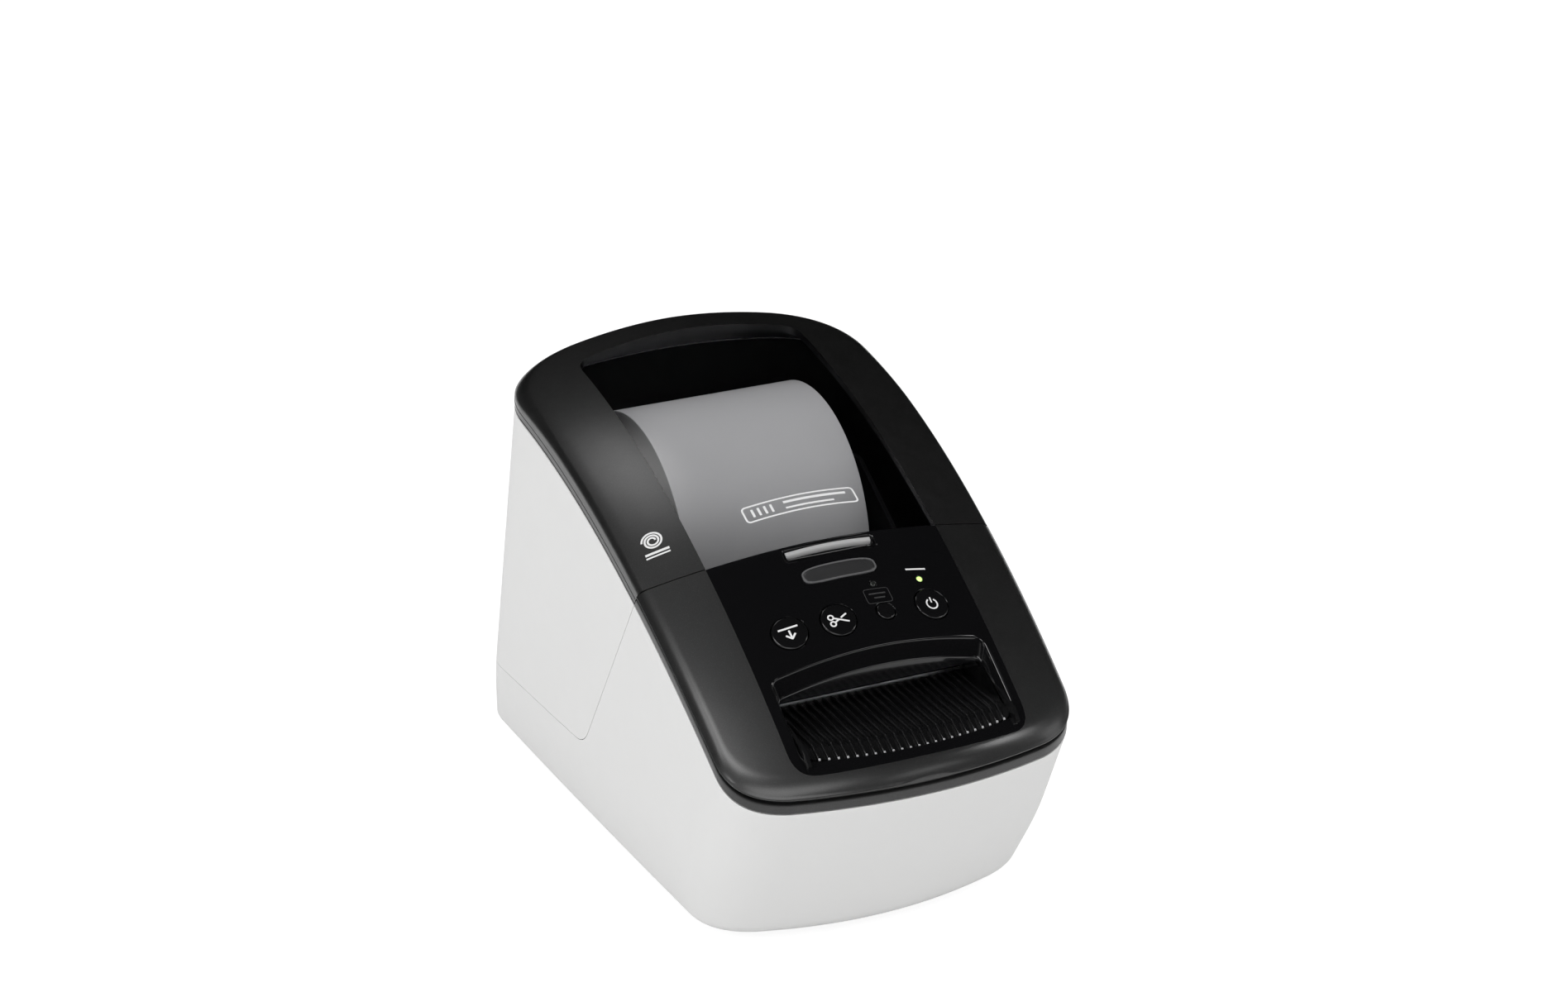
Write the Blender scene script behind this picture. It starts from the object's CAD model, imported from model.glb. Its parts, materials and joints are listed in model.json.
# A desktop label printer: white walls under a dark top. The base carries the bezel, control
# panel and outlet; the cover, with its smoked window, turns on a hinge low at the back.
# x runs across, the front faces -y and z is up from the floor. Lengths are millimetres
# and piece() takes them to metres; materials, floor, lights and camera are in metres.
import json
import math
import bpy
import numpy as np
from mathutils import Vector, Matrix
from mathutils.bvhtree import BVHTree
from mathutils.interpolate import poly_3d_calc


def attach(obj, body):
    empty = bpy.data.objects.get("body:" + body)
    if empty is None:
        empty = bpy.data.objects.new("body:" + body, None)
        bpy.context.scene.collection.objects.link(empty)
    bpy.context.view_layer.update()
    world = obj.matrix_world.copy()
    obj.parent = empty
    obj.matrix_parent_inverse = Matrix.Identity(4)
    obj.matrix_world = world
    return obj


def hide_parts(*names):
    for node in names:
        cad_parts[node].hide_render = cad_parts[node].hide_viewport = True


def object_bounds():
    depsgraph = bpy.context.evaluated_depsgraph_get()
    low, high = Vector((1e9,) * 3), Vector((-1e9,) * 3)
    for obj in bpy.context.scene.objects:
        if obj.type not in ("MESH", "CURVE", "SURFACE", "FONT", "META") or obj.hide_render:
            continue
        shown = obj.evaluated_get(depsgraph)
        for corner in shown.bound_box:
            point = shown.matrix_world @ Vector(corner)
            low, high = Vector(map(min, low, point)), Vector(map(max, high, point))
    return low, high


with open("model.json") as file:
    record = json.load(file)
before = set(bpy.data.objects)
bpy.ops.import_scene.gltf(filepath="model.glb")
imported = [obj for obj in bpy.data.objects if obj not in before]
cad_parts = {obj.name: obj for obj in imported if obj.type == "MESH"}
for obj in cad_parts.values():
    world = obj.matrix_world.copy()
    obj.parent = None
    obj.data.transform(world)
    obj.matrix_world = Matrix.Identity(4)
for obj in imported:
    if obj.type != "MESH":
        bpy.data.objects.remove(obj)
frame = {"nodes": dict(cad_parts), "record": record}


def bounds():
    return [[float(c) for c in corner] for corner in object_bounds()]


CAD_BOX = bounds()
MM = 0.001

# ------------------------------------------------------------------ driving dimensions
WALL = 2.5
# outline of the walls: values at heights 0, KNEE_Z and FULL_Z
KNEE_Z, KNEE_SOFT, FULL_Z = 28.0, 9.0, 150.0
HALF_WIDTH = (59.0, 63.77, 61.65)
BACK_Y = (112.55, 106.2, 89.25)
BACK_CORNER = (8, 15.64, 25.03)
BACK_BOW = (2.09, 6.17)  # at heights 0 and FULL_Z
# values at heights 0 and LOWER_Z
LOWER_Z = 57.0
FRONT_Y = (-77.9, -105.93)
FRONT_BOW = (11.75, 12.38)
FRONT_CORNER = (13.84, 15.79)
FRONT_TAPER, BACK_FLARE = 3.82, 2.19  # half width lost at the front, gained at the back
CORNER_INSET = 0.4  # share of an inset that comes off the corner sizes
# upper rim of the walls at the sides: height against y
RIM_Y = (-110, -40, 30, 100)
RIM_Z = (48.22, 96.13, 125.74, 136.26)
BAND = 7.5
# crown across the middle: rise at the front, what it loses by the back, power of x
RIM_CROWN, TOP_CROWN = (13.28, 9.14, 2), (14.42, 5.26, 1.89)
CROWN_HALF, CROWN_FRONT, CROWN_LENGTH = 64, 110, 220
BELLY_Z, BELLY_R = 2.7, 5.9
BELLY_TOP = BELLY_Z + BELLY_R
# seam between base and cover: a slanted line at the sides and a low one to the back
SEAM_Y90, SEAM_SLOPE = -17.9, 0.61
SEAM_LOW_Z50, SEAM_LOW_SLOPE = 34.5, 0.0426
SEAM_GAP, TOP_SEAM_GAP, SEAM_CORNER = 0.09, 0.16, 7.0
HINGE_Y, HINGE_Z = 98.2, 39.5
LUG_NEAR, LUG_FAR, LUG_R, LUG_GAP = 40, 43, 3.6, 0.4
# x, y, radius
BUTTONS = {
    "feed_button": (-25.0, -61.6, 5.76),
    "cut_button": (-8.5, -62.3, 5.76),
    "editor_button": (7.9, -62.5, 3.0),
    "power_button": (24.5, -61.6, 5.6),
}
BUTTON_RISE = 0.35
LENSES = {"editor_lens": (7.9, -53.3), "status_lens": (24.7, -52.9)}
OUT_HALF, OUT_BACK, OUT_FRONT, OUT_BOW, OUT_BOW_X = 36.9, -72.3, -101.9, 5.1, 33.6
LIP_SIDE, LIP_FRONT, LIP_BACK = 1.5, 1.35, 1.8  # how far the outlet's lip reaches in
LIP_Z, LIP_BOW, DROP_Z = 91.3, 4.1, 85.4
FLOOR_Z, RIB_H, RIB_PITCH, RIBS, BEND = 77.6, 1.2, 2.9, 23, -96.9
ROLL_Y, ROLL_Z, ROLL_R, ROLL_HALF, CORE_R = 42.2, 92.4, 44.5, 33.0, 15.0


# ------------------------------------------------------------------ curves and outlines
def lerp(a, b, part):
    return a + (b - a) * part


def quadratic(part, a, b, c):
    return (1 - part) ** 2 * a + 2 * part * (1 - part) * b + part * part * c


def cubic(part, a, b, c, d):
    rest = 1 - part
    return rest ** 3 * a + 3 * part * rest ** 2 * b + 3 * part * part * rest * c + part ** 3 * d


def radians(*degrees):
    return [math.radians(angle) for angle in degrees]


def circle(radius, cx, cy, count):
    turns = [2 * math.pi * i / count for i in range(count)]
    return [(cx + radius * math.cos(a), cy + radius * math.sin(a)) for a in turns]


def arc(cx, cy, radius, start, end, count):
    turns = radians(*[start + (end - start) * i / count for i in range(count + 1)])
    return [(cx + radius * math.cos(a), cy + radius * math.sin(a)) for a in turns]


def rounded_rect(x0, x1, y0, y1, radius, count=6):
    corners = ((x1 - radius, y0 + radius, -90), (x1 - radius, y1 - radius, 0),
               (x0 + radius, y1 - radius, 90), (x0 + radius, y0 + radius, 180))
    return [p for cx, cy, start in corners
            for p in arc(cx, cy, radius, start, start + 90, count)]


def rounded_outline(corners, count):
    """A closed outline of (x, y, cut): a cut above 0 rounds the corner from that far off."""
    points = []
    for i, (x, y, cut) in enumerate(corners):
        if not cut:
            points.append((x, y))
            continue
        before, after = corners[i - 1], corners[(i + 1) % len(corners)]
        back = Vector((before[0] - x, before[1] - y)).normalized()
        ahead = Vector((after[0] - x, after[1] - y)).normalized()
        for j in range(count + 1):
            points.append((quadratic(j / count, x + back.x * cut, x, x + ahead.x * cut),
                           quadratic(j / count, y + back.y * cut, y, y + ahead.y * cut)))
    return points


def knee(z, levels):
    """Values at 0, KNEE_Z and FULL_Z joined by two lines with a rounded corner."""
    low_slope = (levels[1] - levels[0]) / KNEE_Z
    high_slope = (levels[2] - levels[1]) / (FULL_Z - KNEE_Z)
    above, soft = z - KNEE_Z, KNEE_SOFT
    if above < -soft:
        bent = 0.0
    else:
        bent = above if above > soft else (above + soft) ** 2 / (4 * soft)
    return levels[1] + low_slope * above + (high_slope - low_slope) * bent


def outline(segment, part, z, inset=0):
    """A point of the +x half outline. Segments: front, front corner, side, back corner, back."""
    full, lower = min(max(z / FULL_Z, 0), 1.2), z / LOWER_Z
    middle = knee(z, HALF_WIDTH)
    front_half, back_half = middle - FRONT_TAPER - inset, middle + BACK_FLARE - inset
    middle -= inset
    front_y, front_bow = lerp(*FRONT_Y, lower) + inset, lerp(*FRONT_BOW, lower)
    front_cut = max(lerp(*FRONT_CORNER, min(lower, 1.3)) - inset * CORNER_INSET, 1)
    back_y, back_bow = knee(z, BACK_Y) - inset, lerp(*BACK_BOW, full)
    back_cut = max(knee(z, BACK_CORNER) - inset * CORNER_INSET, 1)

    def side(y):
        q = (y - front_y) / (back_y - front_y) * 2 - 1
        return (middle + (back_half - front_half) / 2 * q
                + ((back_half + front_half) / 2 - middle) * q * q)

    def front(x):
        return front_y + front_bow * (x / front_half) ** 2

    def back(x):
        return back_y - back_bow * (x / back_half) ** 2

    front_x, back_x = side(front_y + front_bow), side(back_y - back_bow)
    front_end, side_start = front_x - front_cut, front(front_x) + front_cut
    side_end, back_start = back(back_x) - back_cut, back_x - back_cut
    if segment == 0:
        return front_end * part, front(front_end * part)
    if segment == 1:
        return (quadratic(part, front_end, front_x, side(side_start)),
                quadratic(part, front(front_end), front(front_x), side_start))
    if segment == 2:
        y = lerp(side_start, side_end, part)
        return side(y), y
    if segment == 3:
        return (quadratic(part, side(side_end), back_x, back_start),
                quadratic(part, side_end, back(back_x), back(back_start)))
    x = back_start * (1 - part)
    return x, back(x)


STATIONS = [(segment, i / count) for segment, count in enumerate((22, 18, 56, 20, 22))
            for i in range(count)] + [(4, 1.0)]


def rim_edge(y):
    """Rim height at the sides: the cubic through the RIM points."""
    z = 0.0
    for i in range(4):
        term = RIM_Z[i]
        for j in range(4):
            if j != i:
                term = term * (y - RIM_Y[j]) / (RIM_Y[i] - RIM_Y[j])
        z = z + term
    return z


def crown(x, y, rise, fall, power):
    return ((rise - fall * (y + CROWN_FRONT) / CROWN_LENGTH)
            * (1 - abs(x / CROWN_HALF) ** power))


def rim_z(x, y):
    return rim_edge(y) + crown(x, y, *RIM_CROWN)


def top_z(x, y):
    return rim_edge(y) + BAND + crown(x, y, *TOP_CROWN)


def top_normal(x, y):
    e = 0.3
    return Vector((-(top_z(x + e, y) - top_z(x - e, y)),
                   -(top_z(x, y + e) - top_z(x, y - e)), 2 * e)).normalized()


def panel_frame(x, y):
    turn = Vector((0, 0, 1)).rotation_difference(top_normal(x, y))
    return Matrix.Translation((x, y, top_z(x, y))) @ turn.to_matrix().to_4x4()


def rim_at(station):
    """Height at which the leaning wall meets the rim, found by repetition."""
    z = 100.0
    for i in range(9):
        found = rim_z(*outline(*station, z))
        z = (z + found) / 2 if i < 3 else found
    return z


RIM_AT = [rim_at(station) for station in STATIONS]
Y_MIN, Y_MAX = CAD_BOX[0][1] / MM + 0.004, CAD_BOX[1][1] / MM - 0.004
Z_CAP = CAD_BOX[1][2] / MM - 0.02


def around(place):
    """A ring round the printer. place(at, rim) gives one point; at(inset, z) is the outline."""
    half = []
    for station, rim in zip(STATIONS, RIM_AT):
        x, y, z = place(lambda inset, z=rim: outline(*station, z, inset), rim)
        half.append((0.0 if abs(x) < 1e-9 else x, min(Y_MAX, max(Y_MIN, y)), z))
    return half + [(-x, y, z) for x, y, z in reversed(half[1:-1])]


def wall_at(height, inset):
    """A ring on the walls, where height(rim) gives its z."""
    return around(lambda at, rim: (*at(inset, height(rim)), height(rim)))


# ------------------------------------------------------------------ mesh tools
def make_mesh(verts, faces):
    mesh = bpy.data.meshes.new("m")
    mesh.from_pydata([tuple(v) for v in verts], [], faces)
    mesh.update()
    return mesh


def outward(mesh):
    """The mesh with its faces turned to give a positive volume."""
    mesh.calc_loop_triangles()
    points = np.zeros(len(mesh.vertices) * 3)
    mesh.vertices.foreach_get("co", points)
    corners = np.zeros(len(mesh.loop_triangles) * 3, int)
    mesh.loop_triangles.foreach_get("vertices", corners)
    a, b, c = points.reshape(-1, 3)[corners.reshape(-1, 3).T]
    if np.einsum("ij,ij->i", a, np.cross(b, c)).sum() < 0:
        mesh.flip_normals()
    return mesh


def loft(rings, closed=False):
    """Skin through closed rings: a loop of them, or a body with a fan at each end."""
    n = len(rings[0])
    verts = [p for ring in rings for p in ring]
    faces = []
    for i in range(len(rings) if closed else len(rings) - 1):
        a, b = i * n, ((i + 1) % len(rings)) * n
        for j in range(n):
            k = (j + 1) % n
            faces.append((a + j, a + k, b + k, b + j))
    if not closed:
        for base, flip in ((0, True), ((len(rings) - 1) * n, False)):
            centre = len(verts)
            ring = verts[base:base + n]
            verts.append(tuple(sum(p[axis] for p in ring) / n for axis in range(3)))
            for j in range(n):
                a, b = base + j, base + (j + 1) % n
                faces.append((centre, b, a) if flip else (centre, a, b))
    return outward(make_mesh(verts, faces))


def prism(points, start, end, axis="z"):
    """A flat outline pushed along z, or (y, z) points pushed along x or (x, z) along y."""
    n = len(points)
    put = {"z": lambda p, a: (p[0], p[1], a), "x": lambda p, a: (a, p[0], p[1]),
           "y": lambda p, a: (p[0], a, p[1])}[axis]
    verts = [put(p, start) for p in points] + [put(p, end) for p in points]
    faces = [tuple(reversed(range(n))), tuple(range(n, 2 * n))]
    faces += [(i, (i + 1) % n, (i + 1) % n + n, i + n) for i in range(n)]
    return outward(make_mesh(verts, faces))


def box(x0, x1, y0, y1, z0, z1):
    return prism([(x0, y0), (x1, y0), (x1, y1), (x0, y1)], z0, z1)


def span(side, near, far):
    """An x range at the given distances, on side 1 or -1."""
    return (near, far) if side > 0 else (-far, -near)


def hinge_cylinder(radius, x0, x1, count):
    return prism(circle(radius, HINGE_Y, HINGE_Z, count), x0, x1, "x")


def lathe(profile, count, placed):
    """A profile of (radius, height), starting and ending on the axis, turned about z."""
    mesh = loft([[(x, y, height) for x, y in circle(radius, 0, 0, count)]
                 for radius, height in profile[1:-1]])
    mesh.vertices[len(mesh.vertices) - 1].co.z = profile[-1][1]
    mesh.vertices[len(mesh.vertices) - 2].co.z = profile[0][1]
    mesh.transform(placed)
    return outward(mesh)


def join(*meshes):
    verts, faces = [], []
    for mesh in meshes:
        first = len(verts)
        verts += [tuple(v.co) for v in mesh.vertices]
        faces += [tuple(i + first for i in p.vertices) for p in mesh.polygons]
    return make_mesh(verts, faces)


def boolean(target, tool, operation):
    pair = [bpy.data.objects.new("operand", mesh) for mesh in (target, tool)]
    for obj in pair:
        bpy.context.scene.collection.objects.link(obj)
    modifier = pair[0].modifiers.new("b", "BOOLEAN")
    modifier.operation, modifier.object, modifier.solver = operation, pair[1], "MANIFOLD"
    graph = bpy.context.evaluated_depsgraph_get()
    mesh = bpy.data.meshes.new_from_object(pair[0].evaluated_get(graph))
    for obj in pair:
        bpy.data.objects.remove(obj)
    return mesh


def subtract(mesh, *tools):
    for tool in tools:
        mesh = boolean(mesh, tool, "DIFFERENCE")
    return mesh


def intersect(mesh, tool):
    return boolean(mesh, tool, "INTERSECT")


def unite(mesh, tool):
    return boolean(mesh, tool, "UNION")


def largest(mesh):
    """The largest loose body of a mesh."""
    parent = list(range(len(mesh.vertices)))

    def find(i):
        while parent[i] != i:
            parent[i] = parent[parent[i]]
            i = parent[i]
        return i
    for edge in mesh.edges:
        a, b = find(edge.vertices[0]), find(edge.vertices[1])
        if a != b:
            parent[a] = b
    groups = {}
    for polygon in mesh.polygons:
        groups.setdefault(find(polygon.vertices[0]), []).append(polygon.index)
    if len(groups) == 1:
        return mesh
    points = [v.co.copy() for v in mesh.vertices]

    def size(group):
        total = 0
        for i in group:
            corners = mesh.polygons[i].vertices
            for a, b in zip(corners[1:-1], corners[2:]):
                total += points[corners[0]].dot(points[a].cross(points[b]))
        return abs(total)
    best = max(groups.values(), key=size)
    used = sorted({i for p in best for i in mesh.polygons[p].vertices})
    remap = {old: new for new, old in enumerate(used)}
    return make_mesh([points[i] for i in used],
                     [tuple(remap[i] for i in mesh.polygons[p].vertices) for p in best])


def smooth_shade(mesh, angle):
    for polygon in mesh.polygons:
        polygon.use_smooth = True
    mesh.set_sharp_from_angle(angle=math.radians(angle))


class Source:
    """A fine surface whose normals are lent to whatever was cut from it."""

    def __init__(self, mesh, angle=32):
        smooth_shade(mesh, angle)
        mesh.calc_loop_triangles()
        triangles = mesh.loop_triangles
        self.points = [v.co.copy() for v in mesh.vertices]
        self.corners = [tuple(t.vertices) for t in triangles]
        normals = mesh.corner_normals
        self.corner_normals = [tuple(normals[i].vector.copy() for i in t.loops)
                               for t in triangles]
        self.face_normals = [t.normal.copy() for t in triangles]
        self.tree = BVHTree.FromPolygons(self.points, self.corners, all_triangles=True)

    def covers(self, centre, normal):
        hit = self.tree.find_nearest(centre, 0.06)
        return hit[0] is not None and abs(hit[1].dot(normal)) > 0.88

    def normal_at(self, point, normal):
        """The smooth normal at a point of a face with the given normal, or None."""
        best, best_score = None, 0.80
        for _, _, index, distance in self.tree.find_nearest_range(point, 0.03):
            score = abs(self.face_normals[index].dot(normal)) - distance * 2
            if score > best_score:
                best, best_score = index, score
        if best is None:
            return None
        weights = poly_3d_calc([self.points[i] for i in self.corners[best]], point)
        blend = sum((self.corner_normals[best][i] * weights[i] for i in range(3)),
                    Vector((0, 0, 0)))
        if self.face_normals[best].dot(normal) < 0:
            blend = -blend
        return blend.normalized() if blend.length > 1e-6 and blend.dot(normal) > 0.3 else None


def shade(mesh, sources):
    """Smooth corner normals, taken from the surfaces that the mesh was cut from."""
    normals = [None] * len(mesh.loops)
    for polygon in mesh.polygons:
        polygon.use_smooth = True
        flat, centre = polygon.normal, polygon.center
        source = next((s for s in sources if s.covers(centre, flat)), None)
        for i in polygon.loop_indices:
            point = mesh.vertices[mesh.loops[i].vertex_index].co
            found = source.normal_at(point, flat) if source else None
            normals[i] = found if found is not None else flat.copy()
    mesh.normals_split_custom_set([tuple(n) for n in normals])
    return mesh


def piece(name, mesh, body, slot, replaces=None, smooth=None, look=None):
    """A finished piece in metres, riding on its body; its look is its slot's unless given."""
    mesh.name = name
    if smooth is not None:
        smooth_shade(mesh, smooth)
    mesh.transform(Matrix.Scale(MM, 4))
    obj = bpy.data.objects.new(name, mesh)
    bpy.context.scene.collection.objects.link(obj)
    mesh.materials.clear()
    mesh.materials.append(MAT[look or slot])
    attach(obj, body)
    if replaces:
        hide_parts(replaces)
    return obj


def second_look(obj, look, chosen):
    """Gives another material to the faces for which chosen(centre in mm, normal) holds."""
    obj.data.materials.append(MAT[look])
    for polygon in obj.data.polygons:
        if chosen(polygon.center / MM, polygon.normal):
            polygon.material_index = 1


# ------------------------------------------------------------------ materials
def node(tree, kind, inputs=None, **settings):
    """A shader node; each input takes a value or another node's output."""
    made = tree.nodes.new(kind)
    for key, value in settings.items():
        setattr(made, key, value)
    for key, value in (inputs or {}).items():
        if isinstance(value, bpy.types.NodeSocket):
            tree.links.new(value, made.inputs[key])
        else:
            made.inputs[key].default_value = value
    return made


def new_material(name):
    """A material, its node tree and the socket that takes its surface."""
    material = bpy.data.materials.new(name)
    material.use_nodes = True
    tree = material.node_tree
    tree.nodes.clear()
    return material, tree, node(tree, "ShaderNodeOutputMaterial").inputs[0]


def principled_material(name, inputs):
    material, tree, surface = new_material(name)
    base = node(tree, "ShaderNodeBsdfPrincipled", inputs)
    tree.links.new(base.outputs[0], surface)
    return material, tree, base.inputs


def noise(tree, scale, detail=3.0, rough=0.5, stretch=None):
    vector = node(tree, "ShaderNodeTexCoord").outputs["Object"]
    if stretch:
        vector = node(tree, "ShaderNodeMapping", {0: vector, "Scale": stretch}).outputs[0]
    return node(tree, "ShaderNodeTexNoise", {"Scale": scale, "Detail": detail,
                "Roughness": rough, "Vector": vector}).outputs["Fac"]


def ramp(tree, value, low, high, start, end, **settings):
    """Maps low..high to start..end."""
    return node(tree, "ShaderNodeMapRange", {"From Min": low, "From Max": high,
                "To Min": start, "To Max": end, "Value": value}, **settings).outputs[0]


def mix_colour(tree, factor, a, b):
    return node(tree, "ShaderNodeMix", {6: (*a, 1), 7: (*b, 1), 0: factor},
                data_type="RGBA").outputs[2]


def bump(tree, height, strength, distance, normal=None):
    inputs = {"Strength": strength, "Distance": distance, "Height": height}
    if normal is not None:
        inputs["Normal"] = normal
    return node(tree, "ShaderNodeBump", inputs).outputs[0]


def plastic(name, colour, rough, drift=0.06, grain=0.0, grain_scale=2600, grain_depth=0.00002,
            speck=0.0, spec=0.5, coat=0.0, coat_rough=0.05, wave=0.0, metal=0.0,
            stretch=None, rough_swing=0.06):
    """Moulded or ground surface: colour drift, uneven roughness and a fine grain in relief."""
    material, tree, base = principled_material(name, {
        "Roughness": rough, "Metallic": metal, "Specular IOR Level": spec,
        "Coat Weight": coat, "Coat Roughness": coat_rough})
    patches = noise(tree, 38)
    dark = tuple(c * (1 - drift) for c in colour)
    light = tuple(min(1, c * (1 + drift)) for c in colour)
    shown = mix_colour(tree, patches, dark, light)
    if speck:
        dots = ramp(tree, noise(tree, 5200, detail=1.0), 0.56, 0.74, 0.0, 1.0)
        bright = (*(min(1, c * (1 + speck * 6) + 0.01 * speck) for c in colour), 1)
        shown = node(tree, "ShaderNodeMix", {7: bright, 0: dots, 6: shown},
                     data_type="RGBA").outputs[2]
    tree.links.new(shown, base["Base Color"])
    uneven = ramp(tree, noise(tree, 160, detail=4, rough=0.6), 0.25, 0.75,
                  max(0.02, rough - rough_swing), min(1, rough + rough_swing))
    tree.links.new(uneven, base["Roughness"])
    normal = None
    if wave:
        normal = bump(tree, noise(tree, 26, detail=2, rough=0.4), wave, distance=0.0004)
    if grain:
        relief = noise(tree, grain_scale, detail=2.5, rough=0.55, stretch=stretch)
        normal = bump(tree, relief, grain, grain_depth, normal)
    if normal is not None:
        tree.links.new(normal, base["Normal"])
    return material


def paper_material():
    material, tree, base = principled_material("coated_paper", {
        "Roughness": 0.55, "Specular IOR Level": 0.35})
    colour = mix_colour(tree, noise(tree, 60), (0.76, 0.76, 0.75), (0.82, 0.82, 0.81))
    tree.links.new(colour, base["Base Color"])
    fibres = noise(tree, 1800, rough=0.6)
    tree.links.new(bump(tree, fibres, strength=0.25, distance=0.00002), base["Normal"])
    return material


def roll_end_material():
    """The wound edges of the label roll: fine rings about its axis."""
    material, tree, base = principled_material("wound_edges", {"Roughness": 0.75})
    place = node(tree, "ShaderNodeTexCoord").outputs["Object"]
    centred = node(tree, "ShaderNodeMapping",
                   {0: place, "Location": (0, -ROLL_Y * MM, -ROLL_Z * MM)})
    axes = node(tree, "ShaderNodeSeparateXYZ", {0: centred.outputs[0]}).outputs
    flat = node(tree, "ShaderNodeCombineXYZ", {0: axes[1], 1: axes[2]})
    radius = node(tree, "ShaderNodeVectorMath", {0: flat.outputs[0]}, operation="LENGTH")
    wound = node(tree, "ShaderNodeTexNoise", {"Scale": 2600.0, "Detail": 2.0,
                 "W": radius.outputs["Value"]}, noise_dimensions="1D").outputs["Fac"]
    colour = mix_colour(tree, wound, (0.52, 0.52, 0.51), (0.78, 0.78, 0.77))
    tree.links.new(colour, base["Base Color"])
    tree.links.new(bump(tree, wound, strength=0.6, distance=0.0001), base["Normal"])
    return material


def smoke_material():
    """Smoked, polished, see-through plastic; only its outer face mirrors."""
    material, tree, surface = new_material("smoked_clear")
    tint = 0.885
    clear = node(tree, "ShaderNodeBsdfTransparent", {"Color": (tint, tint, tint * 1.01, 1)})
    gloss = node(tree, "ShaderNodeBsdfGlossy", {"Roughness": 0.10, "Color": (0.9, 0.9, 0.9, 1)})
    fresnel = node(tree, "ShaderNodeFresnel", {"IOR": 1.46})
    geometry = node(tree, "ShaderNodeNewGeometry")
    mirror = node(tree, "ShaderNodeMath", {0: fresnel.outputs[0]}, operation="MULTIPLY")
    outer = node(tree, "ShaderNodeMath", {0: 1.0, 1: geometry.outputs["Backfacing"]},
                 operation="SUBTRACT")
    tree.links.new(outer.outputs[0], mirror.inputs[1])
    wave = bump(tree, noise(tree, 26, detail=2, rough=0.4), strength=0.05, distance=0.0004)
    tree.links.new(wave, gloss.inputs["Normal"])
    uneven = ramp(tree, noise(tree, 200, detail=4, rough=0.6), 0.25, 0.75, 0.08, 0.13)
    tree.links.new(uneven, gloss.inputs["Roughness"])
    smoke = node(tree, "ShaderNodeBsdfDiffuse", {"Color": (0.004, 0.004, 0.0045, 1)})
    body = node(tree, "ShaderNodeMixShader",
                {0: 0.06, 1: clear.outputs[0], 2: smoke.outputs[0]})
    whole = node(tree, "ShaderNodeMixShader",
                 {0: mirror.outputs[0], 1: body.outputs[0], 2: gloss.outputs[0]})
    tree.links.new(whole.outputs[0], surface)
    return material


def lens_material(name, colour, power=0):
    material, tree, base = principled_material(name, {"Roughness": 0.12, "Coat Weight": 0.6})
    dark = tuple(c * 0.8 for c in colour)
    shown = mix_colour(tree, noise(tree, 900, detail=2), dark, colour)
    tree.links.new(shown, base["Base Color"])
    if power:
        facing = node(tree, "ShaderNodeLayerWeight", {"Blend": 0.35}).outputs["Facing"]
        glow = mix_colour(tree, facing, (0.75, 1.0, 0.45), (0.25, 0.6, 0.03))
        tree.links.new(glow, base["Emission Color"])
        base["Emission Strength"].default_value = power
    return material


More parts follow.
